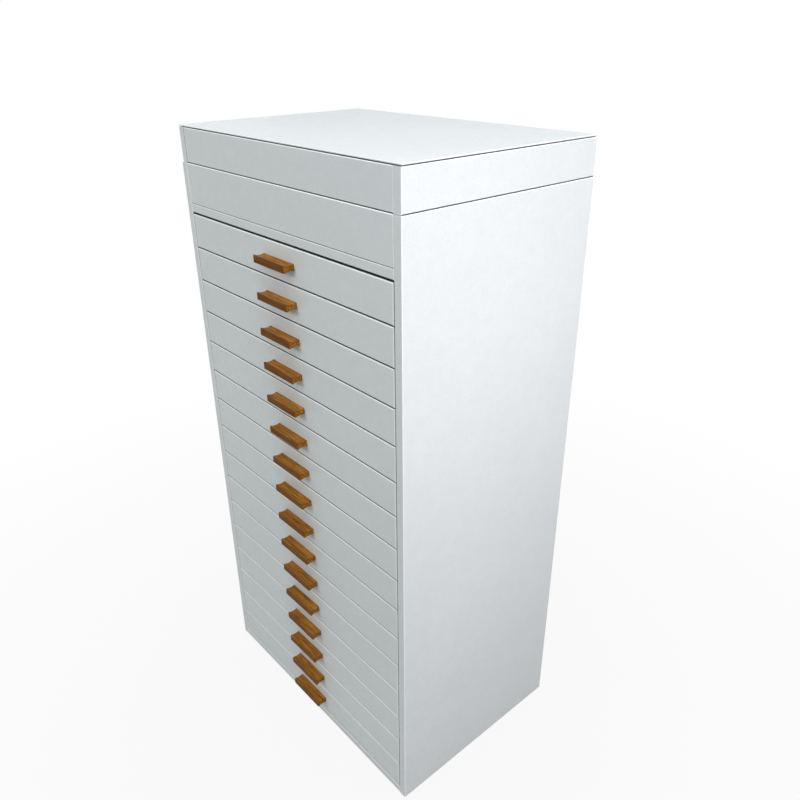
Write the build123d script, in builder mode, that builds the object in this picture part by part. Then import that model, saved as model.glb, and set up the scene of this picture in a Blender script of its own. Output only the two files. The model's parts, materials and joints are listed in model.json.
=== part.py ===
"""Tall storage cabinet for scrapbook paper: sixteen shallow drawers under a lift-up lid.

The cabinet is made of boards wrapped in white leatherette. Every drawer has a set-in front with a
brown pull, and a tray whose grooved sides run on battens fixed to the cabinet's sides. Above the
drawers a divider shelf closes an open-topped compartment, covered by a boxed lid on two hinges.

Axes: X to the right along the front, Y from the front to the back, Z up from the floor.
Origin: on the floor, under the middle of the whole object with its pulls and its hinges.
All sizes are in millimetres.
"""
from build123d import *
import os

os.makedirs("parts", exist_ok=True)

# ---------------------------------------------------------------- driving dimensions
# Cabinet
cabinet_width = 560.0
cabinet_depth = 380.0
cabinet_height = 1110.0
board_thickness = 15.0
back_thickness = 9.0
edge_radius = 1.5            # leatherette pulled round a board's edge
joint_gap = 0.1              # glue line between two boards
housing_depth = 5.0          # how far the boards are let into the side panels
housing_stop = 22.0          # the housings end this far behind the front edge
rebate_depth = 8.0           # the back panel's seat, measured across the side panel

# Lid
lid_height = 59.0
lid_gap = 0.5                # between the lid's rim and the cabinet
lid_set_in = 1.5             # the lid is this much smaller at its front and its sides
lid_lip_thickness = 2.0      # the part of the top board that covers the rim
lid_lip_set_in = 0.8
lid_lip_radius = 1.0
lid_shadow_gap = 1.4         # the lip stands this much above the rim
lid_plug_thickness = 8.0     # the part of the top board that drops inside the rim

# Compartment under the lid
compartment_front_height = 66.7

# Drawers
drawer_count = 16
front_thickness = 15.0
front_gap = 1.5              # between one front and the next, and at both sides
top_front_gap = 3.0          # over the top drawer
front_edge_radius = 2.0
tray_raise = 3.0             # tray's underside above the front's lower edge
tray_headroom = 10.0         # front's upper edge above the tray's rim
tray_side_thickness = 10.0
tray_back_thickness = 10.0
tray_bottom_thickness = 4.0
tray_bottom_let_in = 5.0
tray_side_gap = 1.5          # between a tray and the cabinet's side
tray_back_gap = 5.0          # between a tray and the back panel
tray_rim_chamfer = 1.0

# Runners
runner_width = 6.0
runner_height = 10.0
runner_rise = 22.0           # runner's middle above the tray's underside
runner_seat_gap = 0.3        # tray's groove above the runner's upper face
runner_free_gap = 0.5        # groove's other faces off the runner
runner_stop_gap = 0.3        # runner's nose off the closed drawer's front
runner_back_gap = 1.0
runner_nose_chamfer = 1.0

# Pulls
pull_width = 82.0
pull_depth = 19.0
pull_lip_height = 12.0
pull_lip_thickness = 3.0
pull_lip_step = 0.8          # the lip stands this much proud of the waist's end
pull_waist_height = 8.0
pull_waist_place = 11.0      # from the drawer's front to the narrowest place
pull_base_height = 10.6
pull_edge_chamfer = 0.6

# Hinges
hinge_count = 2
hinge_spacing = 360.0
hinge_width = 60.0
hinge_leaf_height = 20.0
hinge_leaf_thickness = 1.2
hinge_pin_radius = 1.5
hinge_pin_clearance = 0.05
hinge_knuckle_wall = 1.2
hinge_knuckle_count = 5
hinge_knuckle_gap = 0.3
hinge_pin_head_radius = 2.3
hinge_pin_head_thickness = 0.9
hinge_screw_radius = 1.6
hinge_screw_sink_radius = 2.9
hinge_screw_spacing = 38.0
hinge_screw_drop = 13.0      # screw line's distance from the pin

# Floor glides
glide_height = 3.0
glide_radius = 12.0
glide_from_side = 40.0       # a glide's middle from the cabinet's outer faces

# ---------------------------------------------------------------- places worked out from them
hinge_knuckle_radius = hinge_pin_radius + hinge_pin_clearance + hinge_knuckle_wall
overall_depth = pull_depth + cabinet_depth + 2 * hinge_knuckle_radius
front_y = pull_depth - overall_depth / 2
back_y = front_y + cabinet_depth
middle_y = (front_y + back_y) / 2
back_panel_y = back_y - back_thickness
opening_width = cabinet_width - 2 * board_thickness
carcass_bottom = glide_height
bottom_board_top = carcass_bottom + board_thickness
lid_bottom = cabinet_height - lid_height
carcass_top = lid_bottom - lid_gap
shelf_top = carcass_top - compartment_front_height
shelf_bottom = shelf_top - board_thickness
lowest_front_z = bottom_board_top + front_gap
drawer_pitch = (shelf_bottom - top_front_gap + front_gap - lowest_front_z) / drawer_count
front_height = drawer_pitch - front_gap
front_width = opening_width - 2 * front_gap
front_back_y = front_y + front_thickness
tray_width = opening_width - 2 * tray_side_gap
tray_inner_width = tray_width - 2 * tray_side_thickness
tray_height = front_height - tray_raise - tray_headroom
tray_front_y = front_back_y + joint_gap
tray_back_y = back_panel_y - tray_back_gap
groove_depth = runner_width - tray_side_gap + runner_free_gap
runner_front_y = front_back_y + runner_stop_gap
runner_length = back_panel_y - runner_back_gap - runner_front_y
hinge_axis_y = back_y + hinge_knuckle_radius
hinge_axis_z = lid_bottom - lid_gap / 2
hinge_middles = [(index - (hinge_count - 1) / 2) * hinge_spacing for index in range(hinge_count)]
knuckle_pitch = (hinge_width + hinge_knuckle_gap) / hinge_knuckle_count
knuckle_length = knuckle_pitch - hinge_knuckle_gap
glide_spacing_x = cabinet_width - 2 * glide_from_side
glide_spacing_y = cabinet_depth - 2 * glide_from_side


def save(piece, name):
    """Label a finished piece and write it under the same name."""
    piece.label = name
    export_step(piece, f"parts/{name}.step")


def drawer_bottom_z(number):
    """Lower edge of a drawer's front. Drawer 1 is the top one."""
    return lowest_front_z + (drawer_count - number) * drawer_pitch


def runner_middle_z(number):
    """Height of the middle of the two runners that carry a drawer."""
    return drawer_bottom_z(number) + tray_raise + runner_rise


# ---------------------------------------------------------------- cabinet
def make_right_side_panel():
    """Side panel with stopped housings for both boards and a rebate for the back."""
    inner_x = opening_width / 2
    with BuildPart() as panel:
        with BuildSketch(Plane.XY.offset(carcass_bottom)):
            with Locations((inner_x + board_thickness / 2, middle_y)):
                Rectangle(board_thickness, cabinet_depth)
        extrude(amount=carcass_top - carcass_bottom)
        outer_edges = panel.faces().sort_by(Axis.X)[-1].edges()
        inner_front_edge = panel.faces().sort_by(Axis.Y)[0].edges().sort_by(Axis.X)[0]
        fillet([*outer_edges, inner_front_edge], radius=edge_radius)
        with BuildSketch(Plane.XY.offset(carcass_bottom)):
            with Locations((inner_x, back_panel_y)):
                Rectangle(rebate_depth, back_thickness, align=(Align.MIN, Align.MIN))
        extrude(amount=carcass_top - carcass_bottom, mode=Mode.SUBTRACT)
        for board_z in (carcass_bottom, shelf_bottom):
            with BuildSketch(Plane.XY.offset(board_z)):
                with Locations((inner_x, front_y + housing_stop)):
                    Rectangle(
                        housing_depth,
                        back_panel_y - front_y - housing_stop,
                        align=(Align.MIN, Align.MIN),
                    )
            extrude(amount=board_thickness, mode=Mode.SUBTRACT)
    return panel.part


def make_left_side_panel(right_panel):
    """The left panel is the right one's mirror image."""
    with BuildPart() as panel:
        mirror(right_panel, about=Plane.YZ)
    return panel.part


def make_housed_board(board_z):
    """Board between the side panels, its ends let into their housings behind the front edge."""
    board_back_y = back_panel_y - joint_gap
    with BuildPart() as board:
        with BuildSketch(Plane.XY.offset(board_z)):
            with Locations((0, front_y)):
                Rectangle(
                    opening_width - 2 * joint_gap,
                    board_back_y - front_y,
                    align=(Align.CENTER, Align.MIN),
                )
            with Locations((0, front_y + housing_stop + joint_gap)):
                Rectangle(
                    opening_width + 2 * (housing_depth - joint_gap),
                    board_back_y - front_y - housing_stop - joint_gap,
                    align=(Align.CENTER, Align.MIN),
                )
        extrude(amount=board_thickness)
        front_edges = board.faces().sort_by(Axis.Y)[0].edges()
        fillet(front_edges, radius=edge_radius)
    return board.part


def make_back_panel():
    """Thin back that lies in the side panels' rebates."""
    with BuildPart() as panel:
        with BuildSketch(Plane.XY.offset(carcass_bottom)):
            with Locations((0, back_panel_y)):
                Rectangle(
                    opening_width + 2 * (rebate_depth - joint_gap),
                    back_thickness,
                    align=(Align.CENTER, Align.MIN),
                )
        extrude(amount=carcass_top - carcass_bottom)
        fillet(panel.faces().sort_by(Axis.Z)[-1].edges().filter_by(Axis.X), radius=edge_radius)
    return panel.part


def make_compartment_front():
    """Fixed front of the compartment, standing on the divider shelf."""
    with BuildPart() as panel:
        with BuildSketch(Plane.XY.offset(shelf_top)):
            with Locations((0, front_y)):
                Rectangle(
                    opening_width - 2 * joint_gap,
                    board_thickness,
                    align=(Align.CENTER, Align.MIN),
                )
        extrude(amount=compartment_front_height)
        fillet(panel.faces().sort_by(Axis.Y)[0].edges(), radius=edge_radius)
    return panel.part


def make_runners():
    """Two battens for each drawer, fixed to the side panels, with eased noses."""
    spacing_x = opening_width - runner_width
    middle_z = (runner_middle_z(1) + runner_middle_z(drawer_count)) / 2
    with BuildPart() as runners:
        with BuildSketch(Plane.XZ.offset(-runner_front_y)):
            with Locations((0, middle_z)):
                with GridLocations(spacing_x, drawer_pitch, 2, drawer_count):
                    Rectangle(runner_width, runner_height)
        extrude(amount=-runner_length)
        noses = runners.faces().group_by(Axis.Y)[0]
        chamfer(noses.edges().filter_by(Axis.X), length=runner_nose_chamfer)
    return runners.part


def make_floor_glides():
    """Four low round glides, stuck under the bottom board near its corners."""
    with BuildPart() as glides:
        with BuildSketch(Plane.XY):
            with Locations((0, middle_y)):
                with GridLocations(glide_spacing_x, glide_spacing_y, 2, 2):
                    Circle(glide_radius)
        extrude(amount=glide_height)
    return glides.part


# ---------------------------------------------------------------- drawers
def make_drawer_front(number):
    """Set-in drawer front, rounded where the leatherette turns its edges."""
    middle_z = drawer_bottom_z(number) + front_height / 2
    with BuildPart() as front:
        with BuildSketch(Plane.XZ.offset(-front_y)):
            with Locations((0, middle_z)):
                Rectangle(front_width, front_height)
        extrude(amount=-front_thickness)
        fillet(front.faces().sort_by(Axis.Y)[0].edges(), radius=front_edge_radius)
    return front.part


def make_drawer_tray(number):
    """Tray of four boards: two grooved sides, a back, and a bottom let into their lower edges."""
    floor_z = drawer_bottom_z(number) + tray_raise
    groove_top = runner_middle_z(number) + runner_height / 2 + runner_seat_gap
    groove_bottom = runner_middle_z(number) - runner_height / 2 - runner_free_gap
    outer_x = tray_width / 2
    inner_x = tray_inner_width / 2
    length = tray_back_y - tray_front_y
    with BuildPart() as tray:
        with BuildSketch(Plane.XZ.offset(-tray_front_y)) as side_section:
            with Locations((inner_x, floor_z)):
                Rectangle(tray_side_thickness, tray_height, align=(Align.MIN, Align.MIN))
            chamfer(side_section.vertices().group_by(Axis.Y)[-1], length=tray_rim_chamfer)
            with Locations((outer_x - groove_depth, groove_bottom)):
                Rectangle(
                    groove_depth,
                    groove_top - groove_bottom,
                    align=(Align.MIN, Align.MIN),
                    mode=Mode.SUBTRACT,
                )
            with Locations((inner_x, floor_z)):
                Rectangle(
                    tray_bottom_let_in,
                    tray_bottom_thickness,
                    align=(Align.MIN, Align.MIN),
                    mode=Mode.SUBTRACT,
                )
            mirror(about=Plane.YZ)
        extrude(amount=-length)
        with BuildSketch(Plane.XZ.offset(-tray_back_y)):
            with Locations((0, floor_z + tray_bottom_thickness + joint_gap)):
                Rectangle(
                    tray_inner_width - 2 * joint_gap,
                    tray_height - tray_bottom_thickness - joint_gap,
                    align=(Align.CENTER, Align.MIN),
                )
        extrude(amount=tray_back_thickness)
        with BuildSketch(Plane.XZ.offset(-tray_front_y)):
            with Locations((0, floor_z)):
                Rectangle(
                    tray_inner_width + 2 * (tray_bottom_let_in - joint_gap),
                    tray_bottom_thickness - joint_gap,
                    align=(Align.CENTER, Align.MIN),
                )
        extrude(amount=-length)
    return tray.part


def make_pull(number):
    """Bar pull: a waisted section with a proud lip along its front."""
    middle_z = drawer_bottom_z(number) + front_height / 2
    section = Plane(origin=(0, front_y, middle_z), x_dir=(0, -1, 0), z_dir=(-1, 0, 0))
    waist_end = pull_depth - pull_lip_thickness
    with BuildPart() as pull:
        with BuildSketch(section) as outline:
            with BuildLine() as upper_half:
                ThreePointArc(
                    (0, pull_base_height / 2),
                    (pull_waist_place, pull_waist_height / 2),
                    (waist_end, pull_lip_height / 2 - pull_lip_step),
                )
                Line((waist_end, pull_lip_height / 2 - pull_lip_step), (waist_end, pull_lip_height / 2))
                Line((waist_end, pull_lip_height / 2), (pull_depth, pull_lip_height / 2))
                Line((pull_depth, pull_lip_height / 2), (pull_depth, 0))
                Line((pull_depth, 0), (0, 0))
                Line((0, 0), (0, pull_base_height / 2))
            make_face()
            mirror(about=Plane.XZ)
            chamfer(outline.vertices().group_by(Axis.X)[-1], length=pull_edge_chamfer)
        extrude(amount=pull_width / 2, both=True)
        end_edges = pull.faces().filter_by(Axis.X).edges()
        lip_back_y = front_y - waist_end
        lip_edges = [edge for edge in end_edges if edge.center().Y < lip_back_y - pull_edge_chamfer / 2]
        chamfer(lip_edges, length=pull_edge_chamfer)
    return pull.part


# ---------------------------------------------------------------- lid
def make_lid_rim():
    """Four boards: two full-depth sides with the front and the back between them."""
    rim_height = cabinet_height - lid_lip_thickness - lid_shadow_gap - lid_bottom
    outer_width = cabinet_width - 2 * lid_set_in
    lid_front_y = front_y + lid_set_in
    between = outer_width - 2 * board_thickness - 2 * joint_gap
    with BuildPart() as rim:
        with BuildSketch(Plane.XY.offset(lid_bottom)):
            with Locations((0, (lid_front_y + back_y) / 2)):
                with GridLocations(outer_width - board_thickness, 0, 2, 1):
                    Rectangle(board_thickness, back_y - lid_front_y)
                with GridLocations(0, back_y - lid_front_y - board_thickness, 1, 2):
                    Rectangle(between, board_thickness)
        extrude(amount=rim_height)
        side_faces = [*rim.faces().group_by(Axis.X)[0], *rim.faces().group_by(Axis.X)[-1]]
        front_face = rim.faces().group_by(Axis.Y)[0].sort_by(SortBy.AREA)[-1]
        back_face = rim.faces().group_by(Axis.Y)[-1].sort_by(SortBy.AREA)[-1]
        outer_edges = [edge for face in (*side_faces, front_face, back_face) for edge in face.edges()]
        fillet(outer_edges, radius=edge_radius)
    return rim.part


def make_lid_top():
    """Top board: a plug is glued inside the rim, and a thin lip above it casts a shadow line."""
    outer_width = cabinet_width - 2 * lid_set_in
    outer_depth = cabinet_depth - lid_set_in
    lip_bottom = cabinet_height - lid_lip_thickness
    with BuildPart() as top:
        with BuildSketch(Plane.XY.offset(lip_bottom)):
            with Locations((0, middle_y + lid_set_in / 2)):
                Rectangle(
                    outer_width - 2 * lid_lip_set_in,
                    outer_depth - 2 * lid_lip_set_in,
                )
        extrude(amount=lid_lip_thickness)
        fillet(top.faces().sort_by(Axis.Z)[-1].edges(), radius=lid_lip_radius)
        with BuildSketch(Plane.XY.offset(lip_bottom)):
            with Locations((0, middle_y + lid_set_in / 2)):
                Rectangle(
                    outer_width - 2 * (board_thickness + joint_gap),
                    outer_depth - 2 * (board_thickness + joint_gap),
                )
        extrude(amount=-lid_plug_thickness)
    return top.part


# ---------------------------------------------------------------- hinges
def knuckle_places(parity):
    """Middles of the knuckles of one leaf, along the hinge: parity 0 is the cabinet's leaf."""
    first = -(hinge_knuckle_count - 1) / 2 * knuckle_pitch
    return [first + index * knuckle_pitch for index in range(hinge_knuckle_count) if index % 2 == parity]


def make_hinge_leaves(parity):
    """Leaves of both hinges that lie on the cabinet's back (0) or on the lid's back (1)."""
    side = 1 if parity else -1
    leaf_plane = Plane(origin=(0, back_y, hinge_axis_z), x_dir=(-1, 0, 0), z_dir=(0, 1, 0))
    hinge_places = GridLocations(hinge_spacing, 0, hinge_count, 1)
    notch_height = 2 * (hinge_knuckle_radius + hinge_knuckle_gap)
    with BuildPart() as leaves:
        with BuildSketch(leaf_plane):
            with hinge_places:
                with Locations((0, side * hinge_leaf_height / 2)):
                    Rectangle(hinge_width, hinge_leaf_height)
                with Locations(*[(place, 0) for place in knuckle_places(1 - parity)]):
                    Rectangle(
                        knuckle_length + 2 * hinge_knuckle_gap,
                        notch_height,
                        mode=Mode.SUBTRACT,
                    )
        extrude(amount=hinge_leaf_thickness)
        for hinge_x in hinge_middles:
            for place in knuckle_places(parity):
                with BuildSketch(Plane.YZ.offset(hinge_x + place - knuckle_length / 2)):
                    with Locations((hinge_axis_y, hinge_axis_z)):
                        Circle(hinge_knuckle_radius)
                extrude(amount=knuckle_length)
        with BuildSketch(Plane.YZ):
            with Locations((hinge_axis_y, hinge_axis_z)):
                Circle(hinge_pin_radius + hinge_pin_clearance)
        extrude(amount=cabinet_width / 2, both=True, mode=Mode.SUBTRACT)
        with Locations(leaf_plane.offset(hinge_leaf_thickness)):
            with Locations((0, side * hinge_screw_drop, 0)):
                with hinge_places:
                    with GridLocations(hinge_screw_spacing, 0, 2, 1):
                        CounterSinkHole(
                            hinge_screw_radius,
                            hinge_screw_sink_radius,
                            depth=hinge_leaf_thickness,
                        )
    return leaves.part


def make_cabinet_hinges():
    """The cabinet's leaves, and their loose pins with a peened head at each end."""
    with BuildPart() as pins:
        for hinge_x in hinge_middles:
            with BuildSketch(Plane.YZ.offset(hinge_x)):
                with Locations((hinge_axis_y, hinge_axis_z)):
                    Circle(hinge_pin_radius)
            extrude(amount=hinge_width / 2 + joint_gap, both=True)
            for end in (-1, 1):
                head_x = hinge_x + end * (hinge_width / 2 + joint_gap)
                with BuildSketch(Plane.YZ.offset(head_x)):
                    with Locations((hinge_axis_y, hinge_axis_z)):
                        Circle(hinge_pin_head_radius)
                extrude(amount=end * hinge_pin_head_thickness)
        add(make_hinge_leaves(0))
    return pins.part


# ---------------------------------------------------------------- build and write every piece
right_side_panel = make_right_side_panel()
save(right_side_panel, "right_side_panel")
save(make_left_side_panel(right_side_panel), "left_side_panel")
save(make_housed_board(carcass_bottom), "bottom_board")
save(make_housed_board(shelf_bottom), "divider_shelf")
save(make_back_panel(), "back_panel")
save(make_compartment_front(), "compartment_front")
save(make_runners(), "drawer_runners")
save(make_floor_glides(), "floor_glides")

for drawer_number in range(1, drawer_count + 1):
    save(make_drawer_front(drawer_number), f"drawer_{drawer_number:02d}_front")
    save(make_drawer_tray(drawer_number), f"drawer_{drawer_number:02d}_tray")
    save(make_pull(drawer_number), f"drawer_{drawer_number:02d}_pull")

save(make_lid_rim(), "lid_rim")
save(make_lid_top(), "lid_top")
save(make_cabinet_hinges(), "cabinet_hinge_leaves")
save(make_hinge_leaves(1), "lid_hinge_leaves")
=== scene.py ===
# %% [markdown]
# # A paper storage cabinet, finished for a studio picture
#
# The real object is a tall cabinet for flat craft paper: boards wrapped in white leatherette,
# sixteen shallow drawers with brown wooden pulls, and a boxed lid on two butt hinges. Its boards,
# trays, runners and hinges come ready made and in place, as a fixed frame. What is left for this
# script is the camera, the light, the finish of every surface, and the screws.
#
# The frame is loaded first, because everything below is measured from it.

# %% Load the cabinet
import json
import math

import bmesh
import bpy
from mathutils import Matrix, Quaternion, Vector

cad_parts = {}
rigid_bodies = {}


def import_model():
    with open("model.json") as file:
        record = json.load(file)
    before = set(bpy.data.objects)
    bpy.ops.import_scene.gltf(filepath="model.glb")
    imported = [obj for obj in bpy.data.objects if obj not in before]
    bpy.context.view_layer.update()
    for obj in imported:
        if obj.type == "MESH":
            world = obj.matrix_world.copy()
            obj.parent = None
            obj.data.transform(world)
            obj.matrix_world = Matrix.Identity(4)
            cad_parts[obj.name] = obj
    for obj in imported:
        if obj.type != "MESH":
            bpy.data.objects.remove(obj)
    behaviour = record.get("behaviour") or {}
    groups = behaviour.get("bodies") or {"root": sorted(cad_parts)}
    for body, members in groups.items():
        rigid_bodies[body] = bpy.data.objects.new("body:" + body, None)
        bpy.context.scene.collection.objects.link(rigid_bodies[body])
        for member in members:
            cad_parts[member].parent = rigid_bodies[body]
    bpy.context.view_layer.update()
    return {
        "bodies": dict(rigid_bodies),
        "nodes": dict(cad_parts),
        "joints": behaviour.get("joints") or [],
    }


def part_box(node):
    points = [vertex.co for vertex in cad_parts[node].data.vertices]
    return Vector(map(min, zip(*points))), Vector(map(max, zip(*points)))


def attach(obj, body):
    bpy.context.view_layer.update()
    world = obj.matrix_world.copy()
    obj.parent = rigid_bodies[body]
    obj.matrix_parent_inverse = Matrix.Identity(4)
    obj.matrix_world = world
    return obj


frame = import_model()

nodes = frame["nodes"]


# %% [markdown]
# ## Camera
#
# The photograph looks down on the corner between the front and the right side from about a metre
# away, so the upright edges run together towards the floor. A long lens would lose that, and the
# cabinet would look like a drawing. The angles, the place and the focal length below were found by
# fitting seven corners of the cabinet, with the small roll of a camera held by hand. The focal
# length is in pixels of the picture, as such a fit gives it, and becomes millimetres on a common
# sensor.

# %% Camera at the photograph's viewing angle
picture_width_px = 800
focal_length_px = 736.8
sensor_width_mm = 36.0
camera_azimuth = math.radians(48.97)      # round from the front towards the right side
camera_elevation = math.radians(26.69)    # looking down
camera_roll = math.radians(-0.47)
camera_right = 0.93385                    # of the cabinet's middle, in metres
camera_before = 0.57364                   # in front of the side panels' front edges
camera_height = 1.24672
nearest_seen = 0.01

front_edge_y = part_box("right_side_panel")[0].y
towards_camera = Vector((
    math.sin(camera_azimuth) * math.cos(camera_elevation),
    -math.cos(camera_azimuth) * math.cos(camera_elevation),
    math.sin(camera_elevation),
))
camera_data = bpy.data.cameras.new("studio_camera")
camera_data.sensor_width = sensor_width_mm
camera_data.lens = sensor_width_mm * focal_length_px / picture_width_px
camera_data.clip_start = nearest_seen
camera = bpy.data.objects.new("studio_camera", camera_data)
camera.location = (camera_right, front_edge_y - camera_before, camera_height)
camera.rotation_mode = "QUATERNION"
level_turn = towards_camera.to_track_quat("Z", "Y")
camera.rotation_quaternion = level_turn @ Quaternion((0, 0, 1), camera_roll)
bpy.context.scene.collection.objects.link(camera)
bpy.context.scene.camera = camera
bpy.context.scene.view_settings.view_transform = "Standard"
print("camera", round(camera_data.lens, 2), "mm lens")

# %% [markdown]
# ## Helpers for shader nodes
#
# Every finish below is a node tree built in code. It could be clicked together in the editor, but
# in code each number has a name and can be changed and compared. One helper fills a node's inputs,
# where an input may be a plain value or the output of another node, and the others add one node
# each. Written this way a material reads from its coordinates down to its shader.

# %% Adding and filling nodes
def fill(tree, node, inputs):
    """Sets or links a node's inputs. A value is a plain one or another node's output socket."""
    for name, value in inputs.items():
        if isinstance(value, bpy.types.NodeSocket):
            tree.links.new(value, node.inputs[name])
        else:
            node.inputs[name].default_value = value
    return node


def add_node(tree, kind, inputs=None, **settings):
    """Adds a shader node with its settings and its inputs."""
    node = tree.nodes.new("ShaderNode" + kind)
    for setting, value in settings.items():
        setattr(node, setting, value)
    return fill(tree, node, inputs or {})


def start_group(name, inputs, outputs):
    """A new node group, its inputs given as name: (socket kind, default value). Returns the group,
    the sockets that hold its inputs and those that take its outputs."""
    group = bpy.data.node_groups.new(name, "ShaderNodeTree")
    for socket_name, (kind, default) in inputs.items():
        socket_type = "NodeSocket" + kind
        socket = group.interface.new_socket(socket_name, in_out="INPUT", socket_type=socket_type)
        if default is not None:
            socket.default_value = default
    for socket_name in outputs:
        group.interface.new_socket(socket_name, in_out="OUTPUT", socket_type="NodeSocketFloat")
    given = group.nodes.new("NodeGroupInput").outputs
    return group, given, group.nodes.new("NodeGroupOutput").inputs


def use_group(tree, group, inputs):
    """Places a node group in a material, with its own values. Returns its outputs."""
    return fill(tree, add_node(tree, "Group", node_tree=group), inputs).outputs


def start_material(name):
    """A new material. Returns it, its node tree, its Principled shader and its coordinates, which
    are those of the object it is on."""
    material = bpy.data.materials.new(name)
    material.use_nodes = True
    tree = material.node_tree
    place = add_node(tree, "TexCoord").outputs["Object"]
    return material, tree, tree.nodes["Principled BSDF"], place


print("nodes can be added")

# %% Arithmetic on values and vectors
def math_node(tree, operation, *values):
    """The result of a Math node."""
    return add_node(tree, "Math", dict(enumerate(values)), operation=operation).outputs["Value"]


def times(tree, first, second):
    """The product of two values."""
    return math_node(tree, "MULTIPLY", first, second)


def vector_node(tree, operation, first, second):
    """The vector result of a Vector Math node."""
    node = add_node(tree, "VectorMath", {0: first, 1: second}, operation=operation)
    return node.outputs["Vector"]


def part_along(tree, vector, axis):
    """How much of a vector lies along one axis."""
    return add_node(tree, "SeparateXYZ", {"Vector": vector}).outputs[axis]


def object_normal(tree):
    """The normal in the object's own axes, which are the cabinet's."""
    return add_node(tree, "TexCoord").outputs["Normal"]


def remap(tree, value, low, high, to_low=0.0, to_high=1.0):
    """Value moved from the range low..high to the range to_low..to_high, and held inside it."""
    return add_node(tree, "MapRange", {
        "Value": value, "From Min": low, "From Max": high, "To Min": to_low, "To Max": to_high,
    }).outputs["Result"]


print("values can be worked out")

# %% Textures, bumps and colours
noise_low, noise_high = 0.3, 0.7      # most heights of a Noise texture lie between these

# The Mix node has sockets for several kinds of data, and its colour ones come at these places.
mix_first, mix_second, mix_result = 6, 7, 2


def noise(tree, vector, scale, detail=2.0, roughness=0.5, distortion=0.0):
    """The height of a Noise texture. Scale is in waves per metre."""
    return add_node(tree, "TexNoise", {
        "Vector": vector, "Scale": scale, "Detail": detail,
        "Roughness": roughness, "Distortion": distortion,
    }).outputs["Fac"]


def bump(tree, height, strength, distance, over=None):
    """A normal that lets a height be seen, on top of another normal where one is given."""
    inputs = {"Height": height, "Strength": strength, "Distance": distance}
    if over is not None:
        inputs["Normal"] = over
    return add_node(tree, "Bump", inputs).outputs["Normal"]


def mix_colours(tree, factor, first, second):
    """The colour between two colours."""
    node = add_node(tree, "Mix", {"Factor": factor}, data_type="RGBA")
    fill(tree, node, {mix_first: first, mix_second: second})
    return node.outputs[mix_result]


def tint(tree, mask, below, colour, share):
    """A colour with another laid over it where a mask is 1, as thinly as the share says."""
    return mix_colours(tree, times(tree, mask, share), below, colour)


def srgb(red, green, blue):
    """A colour as a paint card gives it, 0 to 255, in the linear values that shaders use."""
    def linear(value):
        # The standard curve of screens: straight in the darkest tones, and a power above them.
        share = value / 255
        return share / 12.92 if share <= 0.04045 else ((share + 0.055) / 1.055) ** 2.4
    return (linear(red), linear(green), linear(blue), 1.0)


print("helpers ready")

# %% [markdown]
# ## Shared effects
#
# Four effects return in several finishes, and each is a node group that is built once. The first is
# cloudiness, the slow drift of tone that every large surface has. The second is an edge mask for
# small hard parts: the Bevel node rounds the normal near an edge, and where that rounded normal
# leaves the true one there is an edge, which hands and cloths have rubbed. It needs no marking of
# the mesh, which suits parts that arrive as loose triangles.
#
# The third is for boards whose edges are really rounded over. There the normal itself leans between
# two axes, so it can be read from the surface, and it also tells an upper edge from a lower one.
# The fourth finds the narrow seams between boards, where little light gets in, so that painted
# shade
# can be laid there: the Ambient Occlusion node looks a few millimetres round each point, and a
# point counts that is nearly shut in.

# %% Cloudiness
def make_clouds_group():
    """Drift of tone, 0 to 1 about 0.5."""
    inputs = {"Vector": ("Vector", None), "Scale": ("Float", 4.0), "Detail": ("Float", 4.0)}
    group, given, out = start_group("clouds", inputs, ["Value"])
    drift = noise(group, given["Vector"], given["Scale"], given["Detail"], roughness=0.55)
    group.links.new(remap(group, drift, noise_low, noise_high), out["Value"])
    return group


def cloudiness(tree, place, scale, detail):
    """The clouds group in a material."""
    return use_group(tree, clouds, {"Vector": place, "Scale": scale, "Detail": detail})["Value"]


clouds = make_clouds_group()
print("group", clouds.name)

# %% Rubbed edges of small parts
edge_radius = 0.0022
flat_agreement, edge_agreement = 0.995, 0.86      # of the rounded normal with the true one


def make_edge_group():
    """1 at an edge, falling to 0 about one radius away from it, broken up by a given value."""
    group, given, out = start_group("edge_rub", {"Breakup": ("Float", 0.5)}, ["Mask"])
    rounded = add_node(group, "Bevel", {"Radius": edge_radius}, samples=6).outputs["Normal"]
    straight = add_node(group, "NewGeometry").outputs["Normal"]
    agreement = add_node(group, "VectorMath", {0: rounded, 1: straight}, operation="DOT_PRODUCT")
    near = remap(group, agreement.outputs["Value"], flat_agreement, edge_agreement)
    group.links.new(times(group, near, given["Breakup"]), out["Mask"])
    return group


edge_rub = make_edge_group()
print("group", edge_rub.name)

# %% Rounded edges of boards
straight_normal, leaning_normal = 0.995, 0.93     # the longest part of a normal, 1 along an axis
level_normal, downward_normal = 0.0, -0.3         # the upward part of a normal


def make_turned_edge_group():
    """1 where a board's face is rounded over: there the normal leans between two axes. Upper edges
    and standing edges come out as Rubbed, and those that face down as Shaded."""
    inputs = {"Normal": ("Vector", None)}
    group, given, out = start_group("turned_edge", inputs, ["Rubbed", "Shaded"])
    lean = vector_node(group, "ABSOLUTE", given["Normal"], (0.0, 0.0, 0.0))
    axes = add_node(group, "SeparateXYZ", {"Vector": lean}).outputs
    longer = math_node(group, "MAXIMUM", axes["X"], axes["Y"])
    longest = math_node(group, "MAXIMUM", longer, axes["Z"])
    turned = remap(group, longest, straight_normal, leaning_normal)
    upward = part_along(group, given["Normal"], "Z")
    faces_down = remap(group, upward, level_normal, downward_normal)
    faces_up = math_node(group, "SUBTRACT", 1.0, faces_down)
    # The leatherette lays a painted highlight on the first mask and painted shade on the second;
    # the paper lays finger dirt on the first.
    group.links.new(times(group, turned, faces_up), out["Rubbed"])
    group.links.new(times(group, turned, faces_down), out["Shaded"])
    return group


turned_edge = make_turned_edge_group()
print("group", turned_edge.name)

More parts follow.
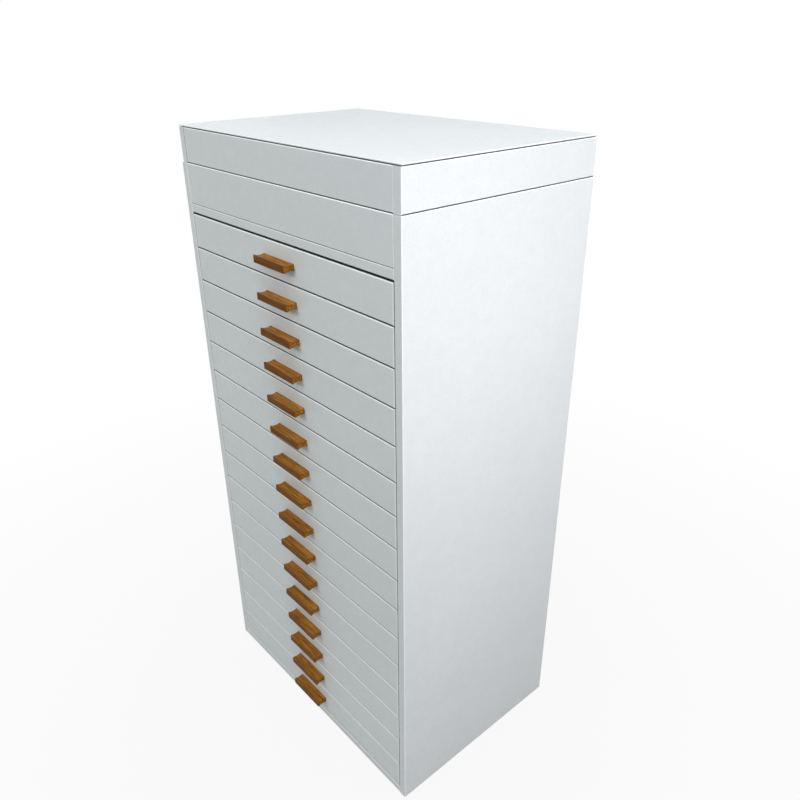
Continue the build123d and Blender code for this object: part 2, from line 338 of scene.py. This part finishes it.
# %% Seams
seam_reach = 0.009
nearly_shut, fully_shut = 0.54, 0.28      # the share of its surroundings that a point still sees


def make_seam_group():
    """1 deep in a narrow gap between two boards, 0 in the open."""
    group, given, out = start_group("painted_seam_shade", {"Reach": ("Float", seam_reach)}, ["Mask"])
    # The finishes lay painted shade where this mask is 1.
    sight = add_node(group, "AmbientOcclusion", {"Distance": given["Reach"]}, samples=8)
    group.links.new(remap(group, sight.outputs["AO"], nearly_shut, fully_shut), out["Mask"])
    return group


painted_seam_shade = make_seam_group()
print("group", painted_seam_shade.name)

# %% [markdown]
# ## White leatherette
#
# The cabinet's boards are wrapped in a coated cloth embossed like fine leather. It is off white, a
# little cool, and neither matt nor glossy. A scan of leather could be laid over the boards, but it
# would repeat and stretch, so the grain is worked out instead. It is a net of rounded cells about a
# millimetre across: Voronoi cells, with the distance to their edge as height, bent a little by
# noise so that no two rows line up, and the creases between them get painted shade. Pulled over a
# board, the cloth also rises and falls very slightly, which breaks up the light along a panel. At
# rounded edges it is smoother and has a clear coat, and a painted highlight makes it lighter,
# except underneath, where painted shade only makes it darker. Deep in the seams, painted shade
# turns it nearly black.

# %% Embossed grain
bend_scale, bend_reach = 420.0, 0.0016      # waves per metre, metres
dome_width = 0.28                           # in the Voronoi texture's own distance
pore_scale, pore_height = 2600.0, 0.3       # waves per metre, share of a dome's height


def make_grain_group():
    """Embossed leather: rounded cells with fine creases between them, and pores."""
    inputs = {"Vector": ("Vector", None), "Cells": ("Float", 800.0)}
    group, given, out = start_group("leather_grain", inputs, ["Height"])
    bend = add_node(group, "TexNoise", {"Vector": given["Vector"], "Scale": bend_scale})
    centred = vector_node(group, "SUBTRACT", bend.outputs["Color"], (0.5, 0.5, 0.5))
    shift = vector_node(group, "MULTIPLY", centred, (bend_reach,) * 3)
    bent = vector_node(group, "ADD", given["Vector"], shift)
    cells = add_node(
        group, "TexVoronoi", {"Vector": bent, "Scale": given["Cells"]}, feature="DISTANCE_TO_EDGE"
    ).outputs["Distance"]
    domes = add_node(
        group, "MapRange", {"Value": cells, "From Max": dome_width},
        interpolation_type="SMOOTHERSTEP",
    ).outputs["Result"]
    pores = noise(group, given["Vector"], pore_scale)
    height = math_node(group, "MULTIPLY_ADD", pores, pore_height, domes)
    group.links.new(height, out["Height"])
    return group


leather_grain = make_grain_group()
print("group", leather_grain.name)

# %% Leatherette
# The edge tone is a painted highlight; the lower edge, crease and seam tones are painted shade.
cloth = {
    "dark": srgb(227, 231, 231), "light": srgb(234, 238, 238), "mottle": srgb(217, 221, 220),
    "crease": srgb(210, 214, 214), "edge": srgb(250, 252, 251), "lower edge": srgb(112, 115, 113),
    "seam": srgb(34, 35, 34),
}
crease_low, crease_high = 0.1, 0.6      # heights of the grain
crease_share = 0.8
edge_polish = -0.16                     # added to the roughness at a rubbed edge


def make_leatherette():
    """Finish of every wrapped board."""
    material, tree, shader, place = start_material("white_leatherette")
    drift = cloudiness(tree, place, scale=3.0, detail=5.0)
    mottle = cloudiness(tree, place, scale=55.0, detail=3.0)
    height = use_group(tree, leather_grain, {"Vector": place})["Height"]
    edge = use_group(tree, turned_edge, {"Normal": object_normal(tree)})
    # painted shade, nearly black, deep in the seams between boards
    seam_shade = use_group(tree, painted_seam_shade, {})["Mask"]
    # painted shade in the creases between the grain's cells
    crease = remap(tree, height, crease_low, crease_high, to_low=crease_share, to_high=0.0)
    tone = mix_colours(tree, drift, cloth["dark"], cloth["light"])
    mottled = tint(tree, mottle, tone, cloth["mottle"], share=0.3)
    creased = mix_colours(tree, crease, mottled, cloth["crease"])
    # painted highlight on rounded upper and standing edges, and painted shade under the lower ones
    highlit = mix_colours(tree, edge["Rubbed"], creased, cloth["edge"])
    shaded_below = mix_colours(tree, edge["Shaded"], highlit, cloth["lower edge"])
    sheen = remap(tree, mottle, 0.0, 1.0, to_low=0.44, to_high=0.56)
    waves = bump(tree, noise(tree, place, scale=14.0), strength=0.25, distance=0.0012)
    fill(tree, shader, {
        "Base Color": mix_colours(tree, seam_shade, shaded_below, cloth["seam"]),
        "Roughness": math_node(tree, "MULTIPLY_ADD", edge["Rubbed"], edge_polish, sheen),
        "Coat Weight": edge["Rubbed"],
        "Coat Roughness": 0.25,
        "Normal": bump(tree, height, strength=0.45, distance=0.00012, over=waves),
    })
    return material


leatherette = make_leatherette()
print("finish", leatherette.name)

# %% [markdown]
# ## Wood grain
#
# The pulls and the runners are wood, and the trays' bare board has a grain too. All are cut along
# it, so one group serves them. Blender's Wave texture could draw rings, but they come out too even.
# Here noise is squeezed along a chosen axis, which draws it out into streaks. Under the streaks lie
# broad bands of growth, which are the sine of a slower noise, and over them the open pores.

# %% Wood grain group
growth_share = 0.22                   # of the streaks' scale
growth_bands = 26.0
wood_pore_share = 5.0
pore_begins, pore_full = 0.56, 0.68


def make_wood_group():
    """Streaks along the squeezed axis, broad bands of growth, and open pores."""
    inputs = {
        "Vector": ("Vector", None),
        "Squeeze": ("Vector", (1.0, 0.06, 1.0)),
        "Scale": ("Float", 220.0),
    }
    group, given, out = start_group("wood_grain", inputs, ["Streaks", "Bands", "Pores"])
    along = vector_node(group, "MULTIPLY", given["Vector"], given["Squeeze"])
    streaks = noise(group, along, given["Scale"], detail=5.0, roughness=0.6, distortion=0.4)
    slow_scale = times(group, given["Scale"], growth_share)
    growth = noise(group, along, slow_scale, detail=2.0, roughness=0.5, distortion=1.2)
    wave = math_node(group, "SINE", times(group, growth, growth_bands))
    pores = noise(group, along, times(group, given["Scale"], wood_pore_share), detail=1.0)
    group.links.new(remap(group, streaks, noise_low, noise_high), out["Streaks"])
    group.links.new(remap(group, wave, -1.0, 1.0), out["Bands"])
    group.links.new(remap(group, pores, pore_begins, pore_full), out["Pores"])
    return group


def grained(tree, place, squeeze, scale):
    """The wood grain group in a material."""
    return use_group(tree, wood_grain, {"Vector": place, "Squeeze": squeeze, "Scale": scale})


wood_grain = make_wood_group()
print("group", wood_grain.name)

# %% [markdown]
# ## Pulls
#
# The pulls are small bars of stained and waxed wood. Stain gathers at their edges, and their front
# face, the lip, gets painted shade. The lip could be given a material of its own, but it is the
# same piece of wood. So its face is found by its normal, which points to the front, and painted
# shade makes it darker there. Wax keeps the gloss low and a little uneven.

# %% Stained pulls
# Apart from the tone for the front face, which is painted shade, these are the stain's own tones.
stain = {
    "dark": srgb(106, 58, 12), "light": srgb(202, 142, 60), "band": srgb(108, 60, 12),
    "patch": srgb(176, 118, 42), "pore": srgb(74, 40, 10), "lip": srgb(84, 44, 8),
    "edge": srgb(72, 38, 8),
}
side_normal, front_normal = -0.4, -0.9      # the front looks along minus Y
# how far painted shade darkens the front face
lip_share = 0.68


def make_pull_finish():
    """Stained and waxed wood, its grain along the pull."""
    material, tree, shader, place = start_material("stained_pull_wood")
    wood = grained(tree, place, squeeze=(0.07, 1.0, 1.0), scale=320.0)
    patches = cloudiness(tree, place, scale=60.0, detail=3.0)
    rub = use_group(tree, edge_rub, {"Breakup": 1.0})["Mask"]
    backwards = part_along(tree, object_normal(tree), "Y")
    # painted shade on the pull's front face, found by its normal
    lip = remap(tree, backwards, side_normal, front_normal, to_high=lip_share)
    streaked = mix_colours(tree, wood["Streaks"], stain["dark"], stain["light"])
    banded = tint(tree, wood["Bands"], streaked, stain["band"], share=0.4)
    patched = tint(tree, patches, banded, stain["patch"], share=0.3)
    pored = tint(tree, wood["Pores"], patched, stain["pore"], share=0.5)
    front_shaded = mix_colours(tree, lip, pored, stain["lip"])
    height = math_node(tree, "SUBTRACT", wood["Streaks"], wood["Pores"])
    fill(tree, shader, {
        "Base Color": tint(tree, rub, front_shaded, stain["edge"], share=0.6),
        "Roughness": remap(tree, patches, 0.0, 1.0, to_low=0.4, to_high=0.54),
        "Specular IOR Level": 0.06,
        "Normal": bump(tree, height, strength=0.3, distance=0.0002),
    })
    return material


pull_finish = make_pull_finish()
print("finish", pull_finish.name)

# %% [markdown]
# ## Papered trays
#
# Inside, a cabinet of this kind is lined rather than painted: the trays are board with matt white
# paper glued over it. Paper is never quite flat or even, so it gets short fibres, faint glue
# ripples and a little dirt where fingers reach over the rim. Two places stay bare, because the
# paper goes on before the saw: the groove in each side, burnished by its runner, and the underside
# of the bottom, which is brown hardboard. The groove is found by its place, because a material
# can't be told which face it is on. All trays are alike and one pitch apart, so the height of a
# point within its own drawer is the remainder after dividing by that pitch.

# %% Where the board is bare
drawer_bodies = sorted(name for name in frame["bodies"] if name.startswith("drawer_"))
top_tray, lowest_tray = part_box("drawer_01_tray"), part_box("drawer_16_tray")
tray_pitch = (top_tray[0].z - lowest_tray[0].z) / (len(drawer_bodies) - 1)
groove_low, groove_high = 0.0164, 0.0274      # above the tray's underside
groove_depth = 0.0051
underneath_normal = -0.5                      # the upward part of a normal


def make_bare_mask(tree, place):
    """1 in the grooves that take the runners and underneath, 0 elsewhere."""
    split = add_node(tree, "SeparateXYZ", {"Vector": place}).outputs
    above = math_node(tree, "SUBTRACT", split["Z"], lowest_tray[0].z)
    within = math_node(tree, "FLOORED_MODULO", above, tray_pitch)
    high_enough = math_node(tree, "GREATER_THAN", within, groove_low)
    low_enough = math_node(tree, "LESS_THAN", within, groove_high)
    from_middle = math_node(tree, "ABSOLUTE", split["X"])
    far_out = math_node(tree, "GREATER_THAN", from_middle, top_tray[1].x - groove_depth)
    groove = times(tree, times(tree, high_enough, low_enough), far_out)
    upward = part_along(tree, object_normal(tree), "Z")
    underneath = math_node(tree, "LESS_THAN", upward, underneath_normal)
    return math_node(tree, "MAXIMUM", groove, underneath)


print("trays are", round(tray_pitch * 1000, 2), "mm apart")

# %% Papered board
paper = {
    "dark": srgb(226, 226, 221), "light": srgb(233, 233, 229), "fibre": srgb(213, 212, 204),
    "touched": srgb(196, 190, 176),
}
hardboard = {
    "dark": srgb(152, 118, 82), "light": srgb(182, 148, 108), "burnished": srgb(126, 94, 62),
}
fibre_begins, fibre_full = 0.35, 0.7
ripple_height = 4.0                           # against the fibres


def make_papered_board():
    """Matt white paper over board, with bare brown board in the grooves and underneath."""
    material, tree, shader, place = start_material("papered_board")
    drawn_out = vector_node(tree, "MULTIPLY", place, (1.0, 0.35, 1.0))
    fibres = noise(tree, drawn_out, scale=900.0, detail=4.0, roughness=0.6, distortion=0.8)
    ripples = noise(tree, place, scale=26.0)
    drift = cloudiness(tree, place, scale=7.0, detail=4.0)
    rim = use_group(tree, turned_edge, {"Normal": object_normal(tree)})["Rubbed"]
    fibre = remap(tree, fibres, fibre_begins, fibre_full, to_high=0.5)
    sheet = mix_colours(tree, drift, paper["dark"], paper["light"])
    fibrous = mix_colours(tree, fibre, sheet, paper["fibre"])
    touched = tint(tree, rim, fibrous, paper["touched"], share=0.5)
    wood = grained(tree, place, squeeze=(1.0, 0.05, 1.0), scale=160.0)
    board = mix_colours(tree, wood["Streaks"], hardboard["dark"], hardboard["light"])
    burnished = tint(tree, wood["Bands"], board, hardboard["burnished"], share=0.3)
    height = math_node(tree, "MULTIPLY_ADD", ripples, ripple_height, fibres)
    fill(tree, shader, {
        "Base Color": mix_colours(tree, make_bare_mask(tree, place), touched, burnished),
        "Roughness": remap(tree, fibres, noise_low, noise_high, to_low=0.72, to_high=0.84),
        "Specular IOR Level": 0.3,
        "Normal": bump(tree, height, strength=0.3, distance=0.0002),
    })
    return material


papered_board = make_papered_board()
print("finish", papered_board.name)

# %% [markdown]
# ## Runners
#
# The runners are planed beech, left as it is, because paint would rub off in the grooves. What
# tells beech from other pale woods is its short dark flecks. They could be modelled one by one as
# strokes, but there are thousands of them, so they are the highest tips of a fine noise drawn out
# along the runner.

# %% Beech runners
beech_tones = {
    "dark": srgb(196, 158, 116), "light": srgb(214, 178, 136), "band": srgb(182, 140, 98),
    "fleck": srgb(140, 98, 62),
}
fleck_begins, fleck_full = 0.6, 0.7


def make_beech():
    """Planed beech with short dark flecks, its grain along the runner."""
    material, tree, shader, place = start_material("planed_beech")
    wood = grained(tree, place, squeeze=(1.0, 0.04, 1.0), scale=260.0)
    drawn_out = vector_node(tree, "MULTIPLY", place, (1.0, 0.25, 1.0))
    tips = noise(tree, drawn_out, scale=1900.0, detail=1.0)
    flecks = remap(tree, tips, fleck_begins, fleck_full, to_high=0.6)
    base = mix_colours(tree, wood["Streaks"], beech_tones["dark"], beech_tones["light"])
    banded = tint(tree, wood["Bands"], base, beech_tones["band"], share=0.25)
    fill(tree, shader, {
        "Base Color": mix_colours(tree, flecks, banded, beech_tones["fleck"]),
        "Roughness": remap(tree, wood["Streaks"], 0.0, 1.0, to_low=0.5, to_high=0.62),
        "Normal": bump(tree, wood["Streaks"], strength=0.2, distance=0.0002),
    })
    return material


beech = make_beech()
print("finish", beech.name)

# %% [markdown]
# ## Metal and plastic
#
# The hinges are nickel-plated steel, rolled along their length, so fine scratches run that way. The
# screws are zinc plated and a little bluer. The glides are black plastic with a fine spark texture.
# Metal has nothing of its own to show but what it reflects, so its tone is mostly in the roughness.
# In a white studio that would leave a screw's recess as bright as its rim, so the seam effect comes
# back here with a reach of about a millimetre, as painted shade in such narrow places.

# %% Nickel and zinc
# The second tone is painted shade for narrow places, such as a screw's recess.
worn_plate, recess_shade_tone = srgb(222, 220, 214), srgb(58, 56, 52)
recess_shade_reach = 0.0012
rolling_gloss = 0.06                          # how much smoother the rolling marks are
patch_dullness = 0.12


def make_metal(name, colour, tarnish, roughness):
    """Plated steel, with rolling marks along X, dull patches and painted shade in its narrow
    places.
    """
    material, tree, shader, place = start_material(name)
    drawn_out = vector_node(tree, "MULTIPLY", place, (0.03, 1.0, 1.0))
    marks = noise(tree, drawn_out, scale=1500.0, detail=1.0)
    patches = cloudiness(tree, place, scale=160.0, detail=3.0)
    rub = use_group(tree, edge_rub, {"Breakup": 0.5})["Mask"]
    # painted shade in the recesses
    recess_shade = use_group(tree, painted_seam_shade, {"Reach": recess_shade_reach})["Mask"]
    plated = tint(tree, patches, colour, tarnish, share=0.6)
    worn = mix_colours(tree, rub, plated, worn_plate)
    smoothest = roughness - rolling_gloss
    rolled = remap(tree, marks, noise_low, noise_high, to_low=smoothest, to_high=roughness)
    fill(tree, shader, {
        "Base Color": mix_colours(tree, recess_shade, worn, recess_shade_tone),
        "Metallic": 1.0,
        "Roughness": math_node(tree, "MULTIPLY_ADD", patches, patch_dullness, rolled),
        "Normal": bump(tree, marks, strength=0.05, distance=0.00005),
    })
    return material


nickel = make_metal("nickel_plate", srgb(200, 197, 191), srgb(166, 161, 153), roughness=0.3)
zinc = make_metal("zinc_plate", srgb(208, 212, 216), srgb(170, 176, 182), roughness=0.36)
print("finishes", nickel.name, zinc.name)

# %% Black plastic
moulded_black, scuffed_black = srgb(38, 38, 40), srgb(88, 88, 88)
scuff_begins, scuff_full = 0.4, 0.6


def make_glide_plastic():
    """Black moulded plastic with a spark texture and scuffed edges."""
    material, tree, shader, place = start_material("black_plastic")
    spark = noise(tree, place, scale=2200.0)
    scuffs = remap(tree, noise(tree, place, scale=300.0), scuff_begins, scuff_full)
    rub = use_group(tree, edge_rub, {"Breakup": scuffs})["Mask"]
    fill(tree, shader, {
        "Base Color": mix_colours(tree, rub, moulded_black, scuffed_black),
        "Roughness": remap(tree, spark, noise_low, noise_high, to_low=0.42, to_high=0.58),
        "Normal": bump(tree, spark, strength=0.4, distance=0.0001),
    })
    return material


glide_plastic = make_glide_plastic()
print("finish", glide_plastic.name)

# %% [markdown]
# ## Dressing the cabinet
#
# A board that comes with the frame keeps its mesh, because its shape is right, and only the
# material in its slot changes. The slot's old name says which finish the board takes, so one small
# table dresses the whole cabinet and no list of its sixty nodes is needed.

# %% Finishes on the frame's own nodes
finishes = {
    "white_wrap": leatherette,
    "tray_board": papered_board,
    "pull_wood": pull_finish,
    "runner_wood": beech,
    "hinge_steel": nickel,
    "glide_plastic": glide_plastic,
}
for node in nodes.values():
    for material_slot in node.material_slots:
        material_slot.material = finishes[material_slot.material.name]
print("dressed", len(nodes), "nodes")

# %% [markdown]
# ## Screw heads
#
# A head is grown from a circle: its face is extruded upwards and drawn in, step by step, as a lathe
# would leave it. The cross recess could be cut with a boolean, but that leaves slivers. Instead the
# top face is divided by eight straight cuts, and the five cells that make the cross are pushed down
# and drawn in. Screws are alike, so a pattern is made once, and each finished piece is a mesh of
# copies, all standing where they belong while the object itself stays at the origin.

# %% Growing a head
screw_sides = 20
recess_half_width = 0.22        # share of the top's radius
recess_half_length = 0.68
recess_taper = 0.6
flat_within = 1e-7              # metres off the top that still count as flat


def raise_face(mesh, face, height, scale):
    """Extrudes a face upwards, scales it about the Z axis and returns it."""
    grown = bmesh.ops.extrude_discrete_faces(mesh, faces=[face])["faces"][0]
    bmesh.ops.translate(mesh, vec=(0, 0, height), verts=grown.verts)
    bmesh.ops.scale(mesh, vec=(scale, scale, 1), verts=grown.verts)
    return grown


def cut_cross(mesh, top_z, radius, depth):
    """Pushes a cross recess into the flat top face."""
    half_width = recess_half_width * radius
    half_length = recess_half_length * radius

    def on_top(face):
        return all(abs(corner.co.z - top_z) < flat_within for corner in face.verts)

    def in_cross(face):
        x, y = (abs(value) for value in face.calc_center_median().xy)
        return on_top(face) and min(x, y) < half_width and max(x, y) < half_length

    for axis in (Vector((1, 0, 0)), Vector((0, 1, 0))):
        for offset in (-half_length, -half_width, half_width, half_length):
            faces = [face for face in mesh.faces if on_top(face)]
            edges = {edge for face in faces for edge in face.edges}
            corners = {corner for face in faces for corner in face.verts}
            bmesh.ops.bisect_plane(
                mesh, geom=[*faces, *edges, *corners], plane_co=axis * offset, plane_no=axis
            )
    cross = [face for face in mesh.faces if in_cross(face)]
    sunk = bmesh.ops.extrude_face_region(mesh, geom=cross)["geom"]
    bmesh.ops.delete(mesh, geom=[face for face in cross if face.is_valid], context="FACES_ONLY")
    floor_corners = [part for part in sunk if isinstance(part, bmesh.types.BMVert)]
    bmesh.ops.translate(mesh, vec=(0, 0, -depth), verts=floor_corners)
    bmesh.ops.scale(mesh, vec=(recess_taper, recess_taper, 1), verts=floor_corners)


def make_screw_head(steps, recess_depth):
    """A head on the Z axis, pointing up. Steps are (radius, height), from its lowest face up."""
    mesh = bmesh.new()
    radius, height = steps[0]
    seat = Matrix.Translation((0, 0, height))
    bmesh.ops.create_circle(mesh, cap_ends=True, segments=screw_sides, radius=radius, matrix=seat)
    top = mesh.faces[:][0]
    for next_radius, next_height in steps[1:]:
        top = raise_face(mesh, top, next_height - height, next_radius / radius)
        radius, height = next_radius, next_height
    cut_cross(mesh, height, radius, recess_depth)
    bmesh.ops.recalc_face_normals(mesh, faces=mesh.faces[:])
    return mesh


print("heads can be made")

# %% Placing copies of a head
sharp_from = math.radians(35)
to_the_back = Matrix.Rotation(math.radians(-90), 4, "X")      # turns up into backwards


def place_copies(name, pattern, places, finish, body):
    """Makes one piece of a copy of the pattern at each place: (point, turn about its own axis).
    The pattern's Z axis is turned to point to the back."""
    joined = bmesh.new()
    pattern_mesh = bpy.data.meshes.new(name + "_pattern")
    pattern.to_mesh(pattern_mesh)
    for point, turn in places:
        before = set(joined.verts)
        joined.from_mesh(pattern_mesh)
        added = [corner for corner in joined.verts if corner not in before]
        matrix = Matrix.Translation(point) @ to_the_back @ Matrix.Rotation(turn, 4, "Z")
        bmesh.ops.transform(joined, matrix=matrix, verts=added)
    mesh = bpy.data.meshes.new(name)
    joined.to_mesh(mesh)
    joined.free()
    bpy.data.meshes.remove(pattern_mesh)
    mesh.polygons.foreach_set("use_smooth", [True] * len(mesh.polygons))
    mesh.set_sharp_from_angle(angle=sharp_from)
    mesh.materials.append(finish)
    piece = bpy.data.objects.new(name, mesh)
    bpy.context.scene.collection.objects.link(piece)
    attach(piece, body)


print("heads can be placed")

# %% [markdown]
# ## Pull screws
#
# Each pull is held by two pan-head screws with washers, put in from inside its drawer. Only heads
# and washers show, so the shanks are left out, and a washer is simply the first step of the head.
# Nobody stops all screws at the same angle, so each has a turn of its own, which comes from its
# drawer's number and not from chance.

# %% Pull screws and their washers
pull_screw_spacing = 0.064
washer_radius, washer_thickness = 0.0048, 0.0008
pan_radius = 0.0037
turn_per_drawer, turn_per_side = 61, 17       # degrees
pan_head = make_screw_head(
    steps=[
        (washer_radius, 0.0), (washer_radius, washer_thickness),
        (pan_radius, washer_thickness), (pan_radius, 0.0021), (0.0031, 0.0028), (0.0019, 0.0031),
    ],
    recess_depth=0.0014,
)
for count, body in enumerate(drawer_bodies):
    low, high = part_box(f"{body}_front")
    middle_z = (low.z + high.z) / 2
    places = []
    for side in (-1, 1):
        turn = math.radians(turn_per_drawer * count + turn_per_side * side)
        places.append((Vector((side * pull_screw_spacing / 2, high.y, middle_z)), turn))
    place_copies(f"{body}_pull_screws", pan_head, places, zinc, body)
pan_head.free()
print(2 * len(drawer_bodies), "pull screws")

# %% [markdown]
# ## Hinge screws
#
# Each hinge leaf has two countersunk screws with slightly domed heads. The first step of the head
# lies in the leaf's thickness and only the dome stands proud of it. The screws of the lower leaves
# are one piece that belongs to the cabinet, and those of the upper leaves are another that swings
# with the lid.

# %% Hinge screws
hinge_spacing = 0.360
hinge_screw_spacing = 0.038
hinge_screw_drop = 0.013                      # from the pin's middle
hinge_leaf_thickness = 0.0012
first_turn, turn_per_screw, turn_per_hinge = 35, 50, 23       # degrees
turn_per_metre = 900                                          # degrees for each metre of rise
oval_head = make_screw_head(
    steps=[
        (0.00175, -hinge_leaf_thickness), (0.00275, -0.00008), (0.0025, 0.00016), (0.0018, 0.0003),
    ],
    recess_depth=0.0009,
)
leaf_face_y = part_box("right_side_panel")[1].y + hinge_leaf_thickness
hinge_axis_z = next(joint["pos_m"][2] for joint in frame["joints"] if joint["name"] == "lid_hinge")
for body, rise in (("cabinet", -hinge_screw_drop), ("lid", hinge_screw_drop)):
    places = []
    for hinge in (-1, 1):
        for side in (-1, 1):
            screw_x = hinge * hinge_spacing / 2 + side * hinge_screw_spacing / 2
            turn = first_turn + turn_per_screw * side + turn_per_hinge * hinge
            turn += turn_per_metre * rise
            point = Vector((screw_x, leaf_face_y, hinge_axis_z + rise))
            places.append((point, math.radians(turn)))
    place_copies(f"{body}_hinge_screws", oval_head, places, zinc, body)
oval_head.free()
print("8 hinge screws about a pin", round(hinge_axis_z * 1000, 2), "mm up")

# %% [markdown]
# ## Floor
#
# The floor is one large disc. In the photograph the ground is plain white, but a real floor that
# white would throw a lot of light up at the cabinet. So its paint is a mid grey, which is what the
# soft light meets, and it glows white only for rays that come straight from the camera, off a
# mirror or through glass. The glow is held back a little near the cabinet, so that its shadow stays
# on the floor.

# %% Floor
floor_radius, floor_sides = 9.0, 96
floor_mesh = bmesh.new()
bmesh.ops.create_circle(floor_mesh, cap_ends=True, segments=floor_sides, radius=floor_radius)
floor_data = bpy.data.meshes.new("studio_floor")
floor_mesh.to_mesh(floor_data)
floor_mesh.free()
studio_floor = bpy.data.objects.new("studio_floor", floor_data)
bpy.context.scene.collection.objects.link(studio_floor)
print("floor", floor_radius, "m")

# %% Floor finish
plain_white = (1.0, 1.0, 1.0, 1.0)
floor_paint = srgb(140, 140, 140)
shadow_radius, clear_radius = 0.45, 1.6       # metres from the cabinet's middle
shadow_glow, clear_glow = 0.92, 1.0


def seen_directly(tree):
    """1 for rays from the camera, from a mirror or through glass, and 0 for rays of soft light."""
    rays = add_node(tree, "LightPath").outputs
    direct = math_node(tree, "MAXIMUM", rays["Is Camera Ray"], rays["Is Glossy Ray"])
    return math_node(tree, "MAXIMUM", direct, rays["Is Transmission Ray"])


def make_floor_finish():
    """Pale painted floor that goes over into the white of the backdrop."""
    material, tree, shader, place = start_material("pale_floor")
    fill(tree, shader, {"Base Color": floor_paint, "Roughness": 0.7, "Specular IOR Level": 0.1})
    distance = add_node(tree, "VectorMath", {0: place}, operation="LENGTH").outputs["Value"]
    glow = remap(
        tree, distance, shadow_radius, clear_radius, to_low=shadow_glow, to_high=clear_glow
    )
    white = add_node(tree, "Emission", {"Color": plain_white, "Strength": 1.0}).outputs["Emission"]
    mixed = add_node(tree, "MixShader", {
        0: times(tree, seen_directly(tree), glow), 1: shader.outputs["BSDF"], 2: white,
    }).outputs["Shader"]
    tree.links.new(mixed, tree.nodes["Material Output"].inputs["Surface"])
    return material


floor_data.materials.append(make_floor_finish())
print("floor finish", floor_data.materials[0].name)

# %% [markdown]
# ## Air
#
# The air gives much of the light: dim from the ground and bright from above, as under a white
# ceiling. An even grey all round would be simpler, but then the top of the cabinet would be no
# brighter than its sides. Like the floor, the air is plain white for rays that see it directly.

# %% World
ground_level, sky_level = 0.1, 1.0
air_colour = (0.97, 0.99, 1.0, 1.0)


def make_world():
    """Soft light from all round, much stronger from above, in front of a white backdrop."""
    world = bpy.data.worlds.new("studio_air")
    world.use_nodes = True
    tree = world.node_tree
    upward = part_along(tree, add_node(tree, "TexCoord").outputs["Generated"], "Z")
    level = remap(tree, upward, 0.0, 1.0, to_low=ground_level, to_high=sky_level)
    air = fill(tree, tree.nodes["Background"], {"Color": air_colour, "Strength": level})
    white = add_node(tree, "Background", {"Color": plain_white, "Strength": 1.0})
    mixed = add_node(tree, "MixShader", {
        0: seen_directly(tree), 1: air.outputs["Background"], 2: white.outputs["Background"],
    }).outputs["Shader"]
    tree.links.new(mixed, tree.nodes["World Output"].inputs["Surface"])
    return world


bpy.context.scene.world = make_world()
print("world", bpy.context.scene.world.name)

# %% [markdown]
# ## Lamps
#
# Soft square lamps do the rest. Two stand beside the right face, one above the other, so that it is
# brightest at the top as in the photograph, and one hangs over the near corner. The front gets less
# light than the side, which is what separates the two white faces. The last two are for the left
# side and the back, which the photograph doesn't show. They stand behind the plane of the front, so
# that none of their light falls straight on it. The strengths were first found by rendering each
# lamp alone and fitting the sum to the photograph's tones, and then changed a little by comparing
# whole pictures.

# %% Lamps
side_colour, corner_colour = (0.99, 0.97, 1.0), (0.9, 0.925, 1.0)
front_colour, neutral_colour = (0.94, 1.0, 0.98), (1.0, 1.0, 1.0)
lamp_table = [
    # name, place, point it is aimed at, width, power in watts, colour
    ("side_lamp_low", (1.15, 0.0, 0.9), (0.28, 0.0, 0.8), 0.5, 2.6, side_colour),
    ("side_lamp_high", (1.15, -0.1, 1.3), (0.28, 0.0, 0.8), 0.5, 4.6, side_colour),
    ("corner_lamp", (0.9, -0.5, 2.3), (0.1, 0.0, 1.1), 0.8, 8.3, corner_colour),
    ("front_lamp", (-0.4, -2.8, 2.2), (0.0, -0.18, 0.6), 0.8, 21.2, front_colour),
    ("left_lamp", (-1.9, 0.4, 0.75), (-0.28, 0.0, 0.6), 1.0, 13.5, neutral_colour),
    ("back_lamp", (-0.3, 2.1, 0.75), (0.0, 0.2, 0.6), 1.0, 15.5, neutral_colour),
]
for name, place, aim, width, power, colour in lamp_table:
    lamp_data = bpy.data.lights.new(name, "AREA")
    lamp_data.size = width
    lamp_data.energy = power
    lamp_data.color = colour
    lamp = bpy.data.objects.new(name, lamp_data)
    lamp.location = place
    lamp.rotation_mode = "QUATERNION"
    lamp.rotation_quaternion = (Vector(aim) - Vector(place)).to_track_quat("-Z", "Y")
    bpy.context.scene.collection.objects.link(lamp)
print(len(lamp_table), "lamps")
